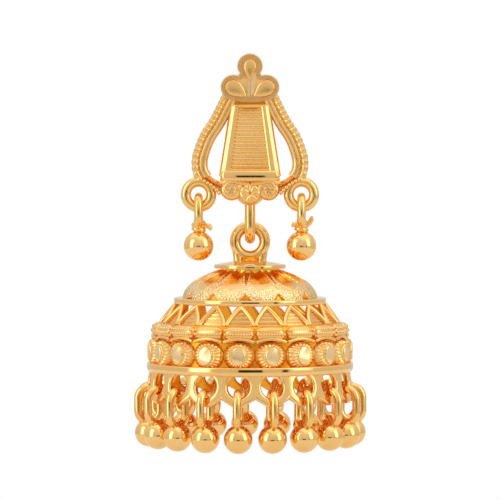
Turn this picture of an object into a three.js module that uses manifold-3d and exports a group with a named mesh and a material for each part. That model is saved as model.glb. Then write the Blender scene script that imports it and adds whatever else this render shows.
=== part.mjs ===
// Jhumka earring: a cast stud, a hanging link, a pierced hollow bell and twenty small drops, all gold.
// Millimetres, +Z up, the front faces -Y and +X is the viewer's right.
// The origin is the root of the ear post, on the flat back of the stud.
import * as THREE from "three";
import { mergeVertices } from "three/addons/utils/BufferGeometryUtils.js";
import Module from "manifold-3d";

const wasm = await Module();
wasm.setup();

// Fits that every part shares
const wireGap = 0.12; // free space between wires that hang in each other
const weld = 0.15; // how far soldered forms run into each other

// Stud: crown
const crownDepth = 1.3;
const topPetalRise = 5.88;
const sidePetalRise = 3.8;
const sidePetalOffset = 1.64;
const petalRadius = 1.25;
const crownFootRise = 2.46;
const petalRimWidth = 0.42;
const petalHollow = 0.25;
const teardropRadius = 0.46;
const teardropProud = 0.16;
const stemWidth = 0.34;

// Stud: panel
const studDepth = 0.9;
const panelTopRise = 1.9;
const panelTopHalf = 1.98;
const panelFootDrop = 5.4;
const panelFootHalf = 3.13;
const plateTopHalf = 1.0;
const plateFootHalf = 1.93;
const ribPitch = 0.36;
const ribHeight = 0.12;
const railProud = 0.5;
const railWidth = 0.4; // of a rail, beside the ribs
const crownBarHeight = 0.6;
const rollDrop = 4.95;
const rollRadius = 0.52;

// Stud: three-lobed scroll
const scrollDepth = 1.45;
const sideLobeRadius = 0.95;
const sideLobeOffset = 1.88;
const sideLobeDrop = 6.42;
const midLobeRadius = 1.1;
const midLobeDrop = 6.77;

// Stud: lyre arms and side rings
const armTopRise = 2.3;
const armFootDrop = 5.15;
const armReach = 4.95;
const armWidth = 1.55;
const armRidgeProud = 0.35;
const cornerWebRise = 0.8; // top of the opening between arm and panel
const panelGapTop = 0.25;
const gadroonCount = 11;
const gadroonProud = 0.16;
const curlWidth = 1.05;
const sideRingOffset = 5.07;
const sideRingDrop = 6.78;
const sideRingRadius = 1.255;
const sideRingWire = 0.5;

// Stud: plain loop and post on the back
const loopBehind = 1.6; // from the stud's back to the loop's plane
const loopDrop = 6.37;
const loopRadius = 1.18;
const loopWire = 0.38;
const loopFootWidth = 1.0;
const postRadius = 0.42;
const postLength = 10;
const postTipLength = 0.5;

// Hanging link
const linkWire = 0.525;
const linkHalfWidth = 1.275;
const linkHalfHeight = 2.33;
const linkSwingRoom = 0.5; // behind the middle lobe, round the swinging link

// Bell: bail, collar and top disc
const bailRadius = 1.465;
const bailWire = 0.54;
const bailRise = 0.84; // from the bottom of the bail's wire circle to the disc
const collarRadius = 0.95;
const bailLegRadius = 0.42;
const bailLegOffset = 1.18;
const discRadius = 3.56;
const discEdge = 0.35;
const discCrown = 0.45;

// Bell: tiers from the top down
const bellRadius = 10.25; // outside of the lower band
const bellWall = 0.65;
const capHeight = 2.91;
const capCoreRadius = 2.0;
const capStep = 0.7;
const capFullness = 1.6; // the flatter the cap's sides, the more
const capNotch = 0.38;
const upperBandHeight = 0.6;
const upperBandProud = 0.16;
const archHeight = 1.91;
const archTopInset = 1.45; // of the arches' tops from their feet
const archFootInset = 1.4;
const archWire = 0.3;
const archProud = 0.24;
const archGap = 0.06; // between the feet of two arches
const cushionHeight = 1.66;
const cushionInset = 0.3;
const cushionGroove = 0.5;
const bossHeight = 2.22;
const bossInset = 0.05;
const bossSwell = 0.65;
const mirrorHalfWidth = 0.66;
const mirrorHalfHeight = 0.88;
const lowerBandHeight = 0.85;
const skirtHeight = 3.01;
const skirtInset = 0.25;
const skirtFlare = 0.5; // outward, from the lower band down to the rim
const skirtHoleRadius = 1.1;
const skirtStrip = 0.9; // metal left under each opening of the skirt
const skirtNotchHeight = 0.75;
const skirtLobeWidth = 0.8;
const repeatCount = 19;
const petalCount = 12;
const repeatPhase = THREE.MathUtils.degToRad(-6.5);

// Small drops
const rimLoopHalfWidth = 1.1;
const rimLoopHalfHeight = 1.7;
const rimLoopWire = 0.4;
const rimBallRadius = 1.4;
const rimBallSink = 0.7; // how far the loop runs into the ball
const sideLoopHalfWidth = 1.1;
const sideLoopHalfHeight = 1.45;
const sideLoopWire = 0.42;
const sideNeckRadius = 0.72;
const sideNeckHeight = 1.25;
const sideBallRadius = 1.47;
const tailRadius = 0.27;
const tailLength = 0.95;

// How finely round forms are divided
const ringSides = 12;
const smallRingSides = 10;
const wireSides = 6;
const smallWireSides = 5;
const ballSides = 10;
const smallBallSides = 10;
const bossSides = 6;
const armSteps = 8;
const curlSteps = 4;
const shellSides = 3 * petalCount;
const skirtSides = 2 * repeatCount;

// Levels down the bell, from the top of its disc
const capTop = -discEdge;
const upperBandTop = capTop - capHeight;
const archTop = upperBandTop - upperBandHeight;
const cushionTop = archTop - archHeight;
const bossTop = cushionTop - cushionHeight;
const lowerBandTop = bossTop - bossHeight;
const skirtTop = lowerBandTop - lowerBandHeight;
const rimLevel = skirtTop - skirtHeight;
const stripTop = rimLevel + skirtStrip;

// Radii that follow the bell's radius
const bossRadius = bellRadius - bossInset;
const cushionRadius = bellRadius - cushionInset;
const archFootRadius = bellRadius - archFootInset;
const archTopRadius = archFootRadius - archTopInset;
const upperBandRadius = archTopRadius + upperBandProud;
const capFootRadius = archTopRadius - capStep;
const skirtRadius = bellRadius - skirtInset;
const rimRadius = skirtRadius + skirtFlare;
const stripMiddle = rimRadius - (skirtFlare * skirtStrip) / (2 * skirtHeight) - bellWall / 2;
const repeatAngle = (2 * Math.PI) / repeatCount;

// Where the hanging pieces bear on each other
const linkPivot = -loopDrop - loopRadius;
const linkTop = linkPivot + loopWire + wireGap + linkWire;
const bellPivot = linkTop - 2 * linkHalfHeight;
const bailTop = bellPivot + linkWire + wireGap + bailWire;
const bailCentre = bailTop - bailRadius;
const discTop = bailCentre - bailRadius - bailRise;

// A closed three.js geometry as a solid that can be joined and cut.
function solid(geometry) {
  const bare = geometry.clone();
  bare.deleteAttribute("normal");
  bare.deleteAttribute("uv");
  const merged = mergeVertices(bare, 1e-4);
  const points = merged.attributes.position.array;
  const faces = [];
  let volume = 0;
  const corner = [new THREE.Vector3(), new THREE.Vector3(), new THREE.Vector3()];
  for (let i = 0; i < merged.index.count; i += 3) {
    const face = [0, 1, 2].map((k) => merged.index.getX(i + k));
    if (new Set(face).size < 3) continue;
    corner.forEach((v, k) => v.fromArray(points, 3 * face[k]));
    volume += corner[0].dot(corner[1].clone().cross(corner[2]));
    faces.push(face);
  }
  if (volume < 0) faces.forEach((face) => face.reverse());
  const mesh = new wasm.Mesh({
    numProp: 3,
    vertProperties: points,
    triVerts: new Uint32Array(faces.flat()),
  });
  return new wasm.Manifold(mesh);
}

function join(geometries) {
  return geometries.map(solid).reduce((all, piece) => all.add(piece));
}

function toGeometry(body) {
  const mesh = body.getMesh();
  const made = new THREE.BufferGeometry();
  made.setAttribute("position", new THREE.BufferAttribute(mesh.vertProperties, 3));
  made.setIndex(new THREE.BufferAttribute(mesh.triVerts, 1));
  return made;
}

// A plate drawn in the XZ plane; back and front are its depths in front of the stud's back.
function plate(shape, back, front, curveSegments = 6) {
  const settings = { depth: front - back, bevelEnabled: false, curveSegments };
  const made = new THREE.ExtrudeGeometry(shape, settings);
  made.rotateX(Math.PI / 2);
  made.translate(0, -back, 0);
  return made;
}

function disc(x, z, radius, back, front) {
  const round = new THREE.Shape();
  round.absarc(x, z, radius, 0, 2 * Math.PI);
  return plate(round, back, front);
}

function polygon(...points) {
  return new THREE.Shape(points.map(([x, z]) => new THREE.Vector2(x, z)));
}

function moved(geometry, x, y, z) {
  geometry.translate(x, y, z);
  return geometry;
}

// A ring of round wire in the XZ plane, drawn out along Z where it is taller than wide.
function wireRing(halfWidth, halfHeight, wire, sides = ringSides, round = wireSides) {
  const ring = new THREE.TorusGeometry(halfWidth, wire, round, sides);
  ring.rotateZ(Math.PI / 2);
  ring.rotateX(Math.PI / 2);
  const place = ring.attributes.position;
  for (let i = 0; i < place.count; i++) {
    const z = place.getZ(i);
    place.setZ(i, z + Math.sign(z) * (halfHeight - halfWidth));
  }
  return ring;
}

// A form turned about Z from [radius, height] pairs; relief may move a point by its angle.
function turned(profile, sides, relief) {
  const points = profile.map(([radius, height]) => new THREE.Vector2(radius, height));
  const made = new THREE.LatheGeometry(points, sides);
  if (relief) {
    const place = made.attributes.position;
    for (let i = 0; i < place.count; i++) {
      const angle = Math.atan2(place.getX(i), place.getZ(i));
      const radius = Math.hypot(place.getX(i), place.getZ(i));
      const [reach, height] = relief(angle, radius, place.getY(i));
      place.setXYZ(i, reach * Math.sin(angle), height, reach * Math.cos(angle));
    }
  }
  made.rotateX(Math.PI / 2);
  return made;
}

// A round boss in the XZ plane, turned about Y from [radius, depth] pairs.
function button(x, z, profile, sides = smallBallSides) {
  const points = profile.map(([radius, depth]) => new THREE.Vector2(radius, -depth));
  return moved(new THREE.LatheGeometry(points, sides), x, 0, z);
}

function ball(radius, sides) {
  const made = new THREE.SphereGeometry(radius, sides, Math.floor(sides / 2));
  made.rotateX(Math.PI / 2);
  return made;
}

// Teardrop outline: a round head with its tip at the given point.
function teardrop(x, z, tipX, tipZ) {
  const away = Math.atan2(z - tipZ, x - tipX);
  const shape = new THREE.Shape();
  shape.moveTo(tipX, tipZ);
  shape.absarc(x, z, teardropRadius, away - Math.PI / 2, away + Math.PI / 2);
  shape.closePath();
  return shape;
}

// Trefoil crown: three petals with a flat rim, a hollow inside it and a teardrop in each.
function crown() {
  const petals = [
    [0, topPetalRise],
    [-sidePetalOffset, sidePetalRise],
    [sidePetalOffset, sidePetalRise],
  ];
  const shoulder = sidePetalOffset + petalRadius;
  const footCorner = [0.72 * shoulder, (crownFootRise + sidePetalRise) / 2 - petalRimWidth];
  const middle = polygon(
    [0, topPetalRise],
    [-sidePetalOffset, sidePetalRise],
    [-footCorner[0], footCorner[1]],
    [0, crownFootRise],
    footCorner,
    [sidePetalOffset, sidePetalRise],
  );
  const outside = petals.map(([x, z]) => disc(x, z, petalRadius, 0, crownDepth));
  const body = join([...outside, plate(middle, 0, crownDepth)]);
  const floor = crownDepth - petalHollow;
  const hollow = petals.map(([x, z]) =>
    disc(x, z, petalRadius - petalRimWidth, floor, crownDepth + weld),
  );
  const tipRise = (topPetalRise + crownFootRise) / 2 + petalRimWidth;
  const sideTip = [1.4 * stemWidth, crownFootRise + 1.6 * petalRimWidth];
  const front = floor + petalHollow + teardropProud;
  const drops = [
    teardrop(0, topPetalRise, 0, tipRise),
    teardrop(-sidePetalOffset, sidePetalRise, -sideTip[0], sideTip[1]),
    teardrop(sidePetalOffset, sidePetalRise, ...sideTip),
    polygon(
      [-stemWidth / 2, crownFootRise + petalRimWidth],
      [stemWidth / 2, crownFootRise + petalRimWidth],
      [stemWidth / 2, tipRise + weld],
      [-stemWidth / 2, tipRise + weld],
    ),
  ].map((shape) => plate(shape, floor - weld, front, 4));
  return body.subtract(join(hollow)).add(join(drops));
}

// Panel outline between two heights, from its half widths at the top and at the foot.
function panelShape(topHalf, footHalf, top = panelTopRise, foot = -panelFootDrop) {
  return polygon([-topHalf, top], [-footHalf, foot], [footHalf, foot], [topHalf, top]);
}

// A straight bar on the panel: its section is [across, depth] pairs, drawn out along X.
function crossBar(half, z, section) {
  const shape = new THREE.Shape(section.map(([up, depth]) => new THREE.Vector2(up, depth)));
  const made = new THREE.ExtrudeGeometry(shape, { depth: 2 * half, bevelEnabled: false });
  const toWorld = new THREE.Matrix4().makeBasis(
    new THREE.Vector3(0, 0, 1),
    new THREE.Vector3(0, -1, 0),
    new THREE.Vector3(1, 0, 0),
  );
  made.applyMatrix4(toWorld);
  return moved(made, -half, 0, z);
}

function roundSection(radius, depth, sides) {
  const points = [[-radius, 0]];
  for (let i = 0; i <= sides; i++) {
    const turn = Math.PI - (Math.PI * i) / sides;
    points.push([radius * Math.cos(turn), depth + radius * Math.sin(turn)]);
  }
  points.push([radius, 0]);
  return points;
}

function panel() {
  const ribs = Math.floor((panelTopRise + rollDrop) / ribPitch);
  const section = [[panelTopRise, 0]];
  for (let i = 0; i <= ribs; i++) {
    const height = panelTopRise - i * ribPitch;
    section.push([height, studDepth]);
    section.push([height - ribPitch / 2, studDepth + ribHeight]);
  }
  section.push([-rollDrop - ribPitch, 0]);
  const ribbed = solid(crossBar(panelFootHalf, 0, section));
  const plateShape = panelShape(plateTopHalf, plateFootHalf, panelTopRise, -rollDrop);
  const inner = ribbed.intersect(solid(plate(plateShape, 0, studDepth + 2 * ribHeight)));
  const base = plate(panelShape(panelTopHalf, panelFootHalf), 0, studDepth - ribHeight);
  const parts = [base];
  for (const side of [-1, 1]) {
    const rail = [
      [side * (plateTopHalf - weld), panelTopRise],
      [side * (plateFootHalf - weld), -rollDrop],
      [side * (plateFootHalf + railWidth), -rollDrop],
      [side * (plateTopHalf + railWidth), panelTopRise],
    ];
    parts.push(plate(polygon(...rail), 0, studDepth + railProud));
  }
  const barTop = crownFootRise + weld;
  const barHalf = (barTop - (panelTopRise - crownBarHeight / 2)) / 2;
  const bar = roundSection(barHalf, studDepth, 4);
  parts.push(crossBar(panelTopHalf - weld, barTop - barHalf, bar));
  parts.push(crossBar(panelFootHalf - 2 * weld, -rollDrop, roundSection(rollRadius, studDepth, 6)));
  return join(parts).add(inner);
}

// Three domed lobes and the web that carries them.
function scroll() {
  const dome = (radius) => [
    [0, 0],
    [radius, 0],
    [radius, 0.55 * scrollDepth],
    [0.8 * radius, 0.9 * scrollDepth],
    [0.35 * radius, scrollDepth],
    [0, 0.93 * scrollDepth],
  ];
  const web = polygon(
    [-panelFootHalf, -rollDrop],
    [-sideLobeOffset - sideLobeRadius / 2, -sideLobeDrop],
    [sideLobeOffset + sideLobeRadius / 2, -sideLobeDrop],
    [panelFootHalf, -rollDrop],
  );
  return join([
    plate(web, 0, studDepth),
    button(-sideLobeOffset, -sideLobeDrop, dome(sideLobeRadius)),
    button(sideLobeOffset, -sideLobeDrop, dome(sideLobeRadius)),
    button(0, -midLobeDrop, dome(midLobeRadius)),
  ]);
}

// Lyre arm, from the crown down to the side ring: shares of armReach and of its height.
const armCourse = [
  { out: 0.45, down: 0.0 },
  { out: 0.65, down: 0.26 },
  { out: 0.85, down: 0.47 },
  { out: 0.97, down: 0.68 },
  { out: 1.0, down: 0.8 },
  { out: 0.98, down: 0.91 },
  { out: 0.91, down: 1.0 },
];

// A band along a plane curve, from one distance on its outer side to another that each step gives.
function bandShape(curve, steps, side, from, to, innerEvery = 1) {
  const inner = [];
  const outer = [];
  for (let i = 0; i <= steps; i++) {
    const at = curve.getPoint(i / steps);
    const along = curve.getTangent(i / steps);
    const out = new THREE.Vector2(-along.y, along.x).multiplyScalar(side);
    if (i % innerEvery === 0) inner.push(at.clone().addScaledVector(out, from));
    outer.push(at.clone().addScaledVector(out, to(i)));
  }
  return new THREE.Shape([...inner, ...outer.reverse()]);
}

// Smooth raised ridge on the inner part of a band.
function ridge(course, steps, side, width) {
  const shape = bandShape(course, steps, side, -0.4 * width, () => -0.05 * width);
  return plate(shape, weld, studDepth + armRidgeProud);
}

// Metal that closes the corner between the crown, an arm and the panel.
function cornerWeb(side) {
  const corner = [
    [sidePetalOffset, crownFootRise + petalRimWidth],
    [sidePetalOffset + 0.8 * petalRadius, sidePetalRise - petalRadius / 2],
    [0.58 * armReach, armTopRise - armWidth / 4],
    [panelTopHalf + panelGapTop, cornerWebRise],
    [panelTopHalf, cornerWebRise],
    [sidePetalOffset - petalRadius / 2, cornerWebRise],
  ];
  return plate(polygon(...corner.map(([x, z]) => [side * x, z])), 0, studDepth);
}

function arm(side) {
  const height = armTopRise + armFootDrop;
  const points = armCourse.map(
    (row) => new THREE.Vector2(side * row.out * armReach, armTopRise - row.down * height),
  );
  const course = new THREE.SplineCurve(points);
  const half = armWidth / 2;
  const toothed = (i) => half + (i % 2 ? gadroonProud : 0);
  const teeth = bandShape(course, 2 * gadroonCount, side, 0, toothed, 2);
  return [
    plate(bandShape(course, armSteps, side, -half, () => half / 4), 0, studDepth),
    plate(teeth, 0, studDepth + gadroonProud),
    ridge(course, armSteps, side, armWidth),
  ];
}

// The arm's foot curls in to the scroll as a strip above the side ring, with a raised ridge.
function curl(side) {
  const start = new THREE.Vector2(side * 0.96 * armReach, -armFootDrop);
  const turn = new THREE.Vector2(side * 0.75 * armReach, -(armFootDrop + sideLobeDrop) / 2);
  const end = new THREE.Vector2(side * (sideLobeOffset + sideLobeRadius / 2), -sideLobeDrop);
  const course = new THREE.SplineCurve([start, turn, end]);
  const half = curlWidth / 2;
  return [
    plate(bandShape(course, curlSteps, side, -half, () => half), 0, studDepth),
    ridge(course, curlSteps, side, curlWidth),
  ];
}

function sideRing(side) {
  const ring = wireRing(sideRingRadius, sideRingRadius, sideRingWire);
  return moved(ring, side * sideRingOffset, -studDepth / 2, -sideRingDrop);
}

// The link's swing room behind the middle lobe.
function linkRoom() {
  const reach = linkHalfWidth + linkWire + linkSwingRoom;
  const width = 2 * (linkWire + 2 * wireGap);
  const room = new THREE.CylinderGeometry(reach, reach, width, 24);
  room.rotateZ(Math.PI / 2);
  return solid(moved(room, 0, loopBehind, linkPivot));
}

// Loop for the link, its foot on the stud's back, and the ear post.
function backParts() {
  const loop = wireRing(loopRadius, loopRadius, loopWire);
  const loopTop = -loopDrop + loopRadius;
  const footLength = loopBehind + loopWire + weld;
  const foot = new THREE.BoxGeometry(loopFootWidth, footLength, 2 * loopWire);
  const shank = new THREE.CylinderGeometry(postRadius, postRadius, postLength, ballSides);
  const tip = new THREE.CylinderGeometry(postRadius / 2, postRadius, postTipLength, ballSides);
  return [
    moved(loop, 0, loopBehind, -loopDrop),
    moved(foot, 0, footLength / 2 - weld, loopTop),
    moved(shank, 0, postLength / 2 - weld, 0),
    moved(tip, 0, postLength - weld + postTipLength / 2, 0),
  ];
}

function stud() {
  const cast = [-1, 1].flatMap((side) => [
    ...arm(side),
    ...curl(side),
    cornerWeb(side),
    sideRing(side),
  ]);
  const front = crown().add(panel()).add(scroll()).add(join(cast));
  return front.subtract(linkRoom()).add(join(backParts()));
}

function hangingLink() {
  const link = wireRing(linkHalfWidth, linkHalfHeight, linkWire);
  link.rotateZ(Math.PI / 2);
  return solid(link);
}

// Side drop, hung from the bottom of a side ring: its origin is the top of its wire loop.
function sideDrop(tails) {
  const sides = [smallRingSides, smallWireSides];
  const loop = wireRing(sideLoopHalfWidth, sideLoopHalfHeight, sideLoopWire, ...sides);
  loop.rotateZ(Math.PI / 2);
  const loopFoot = -2 * sideLoopHalfHeight;
  const neckTop = loopFoot + sideNeckHeight / 2;
  const turns = [
    [0, neckTop],
    [0.8 * sideNeckRadius, neckTop],
    [sideNeckRadius, neckTop - 0.25 * sideNeckHeight],
    [0.8 * sideNeckRadius, neckTop - 0.5 * sideNeckHeight],
    [sideNeckRadius, neckTop - 0.75 * sideNeckHeight],
    [0.8 * sideNeckRadius, neckTop - sideNeckHeight - weld],
    [0, neckTop - sideNeckHeight - weld],
  ];
  const ballCentre = neckTop - sideNeckHeight - sideBallRadius + weld;
  const parts = [
    moved(loop, 0, 0, -sideLoopHalfHeight),
    turned(turns, smallRingSides),
    moved(ball(sideBallRadius, ballSides), 0, 0, ballCentre),
  ];
  for (const { turn, rise } of tails) {
    const tail = new THREE.CylinderGeometry(tailRadius, tailRadius, tailLength, 8);
    tail.rotateZ(Math.PI / 2);
    tail.translate(tailLength / 2, 0, 0);
    tail.rotateY(-rise);
    tail.rotateZ(turn);
    parts.push(moved(tail, 0, 0, neckTop - 0.3 * sideNeckHeight));
  }
  return join(parts);
}

// Rim drop, hung from the skirt: its origin is the top of its wire loop.
function rimDrop() {
  const sides = [smallRingSides, smallWireSides];
  const loop = wireRing(rimLoopHalfWidth, rimLoopHalfHeight, rimLoopWire, ...sides);
  loop.rotateZ(Math.PI / 2);
  const ballCentre = -2 * rimLoopHalfHeight - rimLoopWire + rimBallSink - rimBallRadius;
  return join([
    moved(loop, 0, 0, -rimLoopHalfHeight),
    moved(ball(rimBallRadius, smallBallSides), 0, 0, ballCentre),
  ]);
}

function bail() {
  const ring = wireRing(bailRadius, bailRadius, bailWire);
  const ringCentre = bailRise + bailRadius;
  const legHeight = bailRise + bailWire + weld;
  const parts = [moved(ring, 0, 0, ringCentre)];
  for (const side of [-1, 1]) {
    const leg = new THREE.CylinderGeometry(bailLegRadius, bailLegRadius, legHeight, 8);
    leg.rotateX(Math.PI / 2);
    parts.push(moved(leg, side * bailLegOffset, 0, legHeight / 2 - weld));
  }
  const collar = new THREE.CylinderGeometry(collarRadius, collarRadius, bailRise + weld, ballSides);
  collar.rotateX(Math.PI / 2);
  parts.push(moved(collar, 0, 0, (bailRise - weld) / 2));
  return parts;
}

// Slope that the arches lean at.
const archSlope = Math.atan2(archTopInset, archHeight);

// Outline of the cap's quarter oval, set in from its outside; rows go down from the disc.
function capOutline(inset, steps) {
  const topTurn = THREE.MathUtils.degToRad(72);
  const rows = [];
  for (let i = 0; i < steps; i++) {
    const turn = topTurn * (1 - i / steps);
    const reach = (capFootRadius - capCoreRadius) * Math.cos(turn) ** capFullness;
    const rise = (capHeight / Math.sin(topTurn)) * Math.sin(turn);
    rows.push([capCoreRadius + reach - inset, upperBandTop + rise - inset * Math.sin(turn)]);
  }
  return rows;
}

// Top disc, petalled cap and upper band; a V is hollowed between each two petals.
function shell() {
  const bandFoot = archTop + 0.2 * upperBandHeight;
  const lip = archTopRadius - 1.5 * bellWall;
  const profile = [
    [0, discCrown],
    [collarRadius + weld, discCrown],
    [discRadius, 0],
    [discRadius, capTop],
    ...capOutline(0, 4),
    [capFootRadius, upperBandTop],
    [upperBandRadius, upperBandTop - 0.15 * upperBandHeight],
    [upperBandRadius, bandFoot],
    [archTopRadius, archTop],
    [lip, archTop],
    [Math.min(lip, capFootRadius - bellWall), upperBandTop],
    ...capOutline(bellWall, 2).reverse(),
    [0, capTop - bellWall],
  ];
  const petal = (2 * Math.PI) / petalCount;
  const notchFoot = capTop - 0.45 * capHeight;
  const hollow = (angle, radius, height) => {
    const across = Math.abs(angle / petal - Math.round(angle / petal));
    const inCap = height > notchFoot && height < capTop - weld && radius > discRadius + weld;
    return inCap && across < 0.1 ? [radius - capNotch / 2, height - capNotch] : [radius, height];
  };
  const made = turned(profile, shellSides, hollow);
  made.rotateZ(repeatPhase);
  return solid(made);
}

// Everything that repeats is drawn at the front and turned about the bell's axis.
function repeated(make, offset = 0) {
  const copies = [];
  for (let i = 0; i < repeatCount; i++) {
    const copy = make();
    copy.rotateZ(repeatPhase + (i + offset) * repeatAngle);
    copies.push(copy);
  }
  return join(copies);
}

// Pointed arches with a raised wire edge, leaning side by side from the cushions to the upper band.
function archOutline(inset) {
  const half = (Math.PI * (archFootRadius - archProud)) / repeatCount - archGap / 2 - inset;
  const tall = Math.hypot(archHeight, archTopInset) + 2 * weld - 1.6 * inset;
  return [
    [0.9 * half, inset - weld],
    [0.94 * half, 0.25 * tall],
    [0, tall],
    [-0.94 * half, 0.25 * tall],
    [-0.9 * half, inset - weld],
  ];
}

function arches() {
  const edge = polygon(...archOutline(weld / 8));
  const [footLeft, , tip, , footRight] = archOutline(archWire);
  edge.holes.push(polygon(footLeft, tip, footRight));
  const lean = (made) => {
    made.rotateX(-archSlope);
    return moved(made, 0, -archFootRadius, cushionTop);
  };
  const panels = () => lean(plate(polygon(...archOutline(0)), -bellWall, 0));
  const edges = () => lean(plate(edge, -weld, archProud));
  return repeated(panels).add(repeated(edges));
}

// Ring of rope cushions, grooved between each two.
function cushions() {
  const inner = cushionRadius - 1.9 * bellWall;
  const foot = bossTop - weld;
  const profile = [
    [inner, cushionTop + weld],
    [archFootRadius, cushionTop + weld],
    [cushionRadius, cushionTop - 0.25 * cushionHeight],
    [cushionRadius, cushionTop - 0.7 * cushionHeight],
    [cushionRadius - 0.7 * bellWall, foot],
    [inner, foot],
    [inner, cushionTop + weld],
  ];
  const grooved = (angle, radius, height) => {
    const across = Math.abs(angle / repeatAngle - Math.round(angle / repeatAngle));
    const outside = radius > cushionRadius - 2 * weld;
    return [outside && across < 0.1 ? radius - cushionGroove : radius, height];
  };
  const ring = turned(profile, 3 * repeatCount, grooved);
  ring.rotateZ(repeatPhase + repeatAngle / 2);
  return solid(ring);
}

// Boss with a flat oval mirror face; each row is a level behind that face.
function boss() {
  const equatorHalf = (Math.PI * (bossRadius - bossSwell)) / repeatCount - wireGap / 4;
  const halfHeight = bossHeight / 2 + weld;
  const levels = [
    { depth: 0, halfWidth: 0, halfHeight: 0 },
    { depth: 0, halfWidth: mirrorHalfWidth, halfHeight: mirrorHalfHeight },
    { depth: bossSwell, halfWidth: equatorHalf, halfHeight },
    { depth: bossSwell + bellWall, halfWidth: equatorHalf, halfHeight },
    { depth: bossSwell + bellWall, halfWidth: 0, halfHeight: 0 },
  ];
  const points = levels.map((row) => new THREE.Vector2(row.halfWidth, row.depth));
  const made = new THREE.LatheGeometry(points, bossSides);
  const place = made.attributes.position;
  for (let i = 0; i < place.count; i++) {
    const row = levels[i % levels.length];
    place.setZ(i, (place.getZ(i) * row.halfHeight) / (row.halfWidth || 1));
  }
  return moved(made, 0, -bossRadius, (bossTop + lowerBandTop) / 2);
}

// Lower band and skirt, with an opening for each rim drop and a notch between each two.
function skirt() {
  const inner = skirtRadius - bellWall;
  const wall = turned(
    [
      [inner, lowerBandTop],
      [bellRadius - weld, lowerBandTop],
      [bellRadius, lowerBandTop - 0.35 * lowerBandHeight],
      [bellRadius - weld / 2, skirtTop],
      [skirtRadius, skirtTop],
      [rimRadius, rimLevel],
      [rimRadius - bellWall, rimLevel],
      [inner, lowerBandTop],
    ],
    skirtSides,
  );
  wall.rotateZ(repeatPhase);
  const back = skirtRadius - 2 * bellWall;
  const front = rimRadius + bellWall;
  const centre = stripTop + skirtHoleRadius;
  const lintel = Math.asin(Math.min(0.9, (skirtTop - weld / 3 - centre) / skirtHoleRadius));
  const round = new THREE.Shape();
  round.absarc(0, centre, skirtHoleRadius, Math.PI - lintel, 2 * Math.PI + lintel);
  round.closePath();
  const hole = () => plate(round, back, front, 3);
  const half = (Math.PI * rimRadius) / repeatCount - skirtLobeWidth / 2;
  const foot = rimLevel - weld / 2;
  const wedge = polygon([-half - weld, foot], [half + weld, foot], [0, rimLevel + skirtNotchHeight]);
  const notch = () => plate(wedge, back, front);
  return solid(wall).subtract(repeated(hole)).subtract(repeated(notch, 0.5));
}

function bell() {
  return shell()
    .add(cushions())
    .add(arches())
    .add(repeated(boss))
    .add(skirt())
    .add(join(bail()));
}

const gold = { roughness: 0.18, metalness: 1 };

function piece(name, geometry, color) {
  const mesh = new THREE.Mesh(geometry, new THREE.MeshStandardMaterial({ color, ...gold }));
  mesh.name = name;
  return mesh;
}

const earring = new THREE.Group();
earring.add(piece("stud", toGeometry(stud()), 0xdfa95c));

const sideTails = {
  left: [{ turn: 0, rise: 0.2 }],
  right: [
    { turn: 0, rise: 0.7 },
    { turn: Math.PI, rise: 0 },
  ],
};
for (const [name, side] of [["left", -1], ["right", 1]]) {
  const drop = piece("side_drop_" + name, toGeometry(sideDrop(sideTails[name])), 0xe2ac58);
  const ringFoot = -sideRingDrop - sideRingRadius;
  const hang = ringFoot + sideRingWire + wireGap + sideLoopWire;
  drop.position.set(side * sideRingOffset, -studDepth / 2, hang);
  earring.add(drop);
}

const hanging = new THREE.Group();
hanging.position.set(0, loopBehind, 0);
earring.add(hanging);

const link = piece("hanging_link", toGeometry(hangingLink()), 0xe0ab58);
link.position.z = linkTop - linkHalfHeight;
hanging.add(link);

const bellGroup = new THREE.Group();
bellGroup.position.z = discTop;
hanging.add(bellGroup);
bellGroup.add(piece("bell", toGeometry(bell()), 0xdda658));

const rimDropGeometry = toGeometry(rimDrop());
for (let i = 0; i < repeatCount; i++) {
  const spoke = new THREE.Group();
  spoke.rotation.z = repeatPhase + i * repeatAngle;
  const drop = piece("rim_drop_" + String(i + 1).padStart(2, "0"), rimDropGeometry, 0xe3a850);
  drop.position.set(0, -stripMiddle, stripTop + wireGap + rimLoopWire);
  spoke.add(drop);
  bellGroup.add(spoke);
}

export default earring;
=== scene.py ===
"""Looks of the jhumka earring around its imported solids: smooth gold forms, studio light and camera.

Sizes are in millimetres until a mesh is made. +Z is up, the front faces -Y and +X is the viewer's right.
"""

import math

import bmesh
import bpy
import numpy as np
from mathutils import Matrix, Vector


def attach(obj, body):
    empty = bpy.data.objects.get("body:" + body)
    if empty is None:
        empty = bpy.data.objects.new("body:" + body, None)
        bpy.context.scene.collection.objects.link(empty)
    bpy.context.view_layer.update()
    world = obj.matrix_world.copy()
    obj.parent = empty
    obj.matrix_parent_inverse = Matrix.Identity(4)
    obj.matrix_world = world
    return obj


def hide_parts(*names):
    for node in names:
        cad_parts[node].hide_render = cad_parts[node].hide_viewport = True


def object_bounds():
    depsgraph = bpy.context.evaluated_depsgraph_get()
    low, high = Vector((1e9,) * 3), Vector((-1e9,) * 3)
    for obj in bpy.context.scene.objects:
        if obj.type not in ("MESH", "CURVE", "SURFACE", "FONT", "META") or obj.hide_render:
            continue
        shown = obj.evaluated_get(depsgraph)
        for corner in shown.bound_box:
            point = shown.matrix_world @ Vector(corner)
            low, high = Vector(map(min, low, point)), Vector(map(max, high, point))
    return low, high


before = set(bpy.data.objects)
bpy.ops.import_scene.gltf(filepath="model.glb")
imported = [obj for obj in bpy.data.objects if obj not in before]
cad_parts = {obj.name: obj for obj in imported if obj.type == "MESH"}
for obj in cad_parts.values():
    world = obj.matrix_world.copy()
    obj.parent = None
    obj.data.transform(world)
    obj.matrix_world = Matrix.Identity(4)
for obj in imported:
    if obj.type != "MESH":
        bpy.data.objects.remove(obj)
cad_low, cad_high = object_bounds()

MM = 0.001
FULL_TURN = 2 * math.pi

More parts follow.
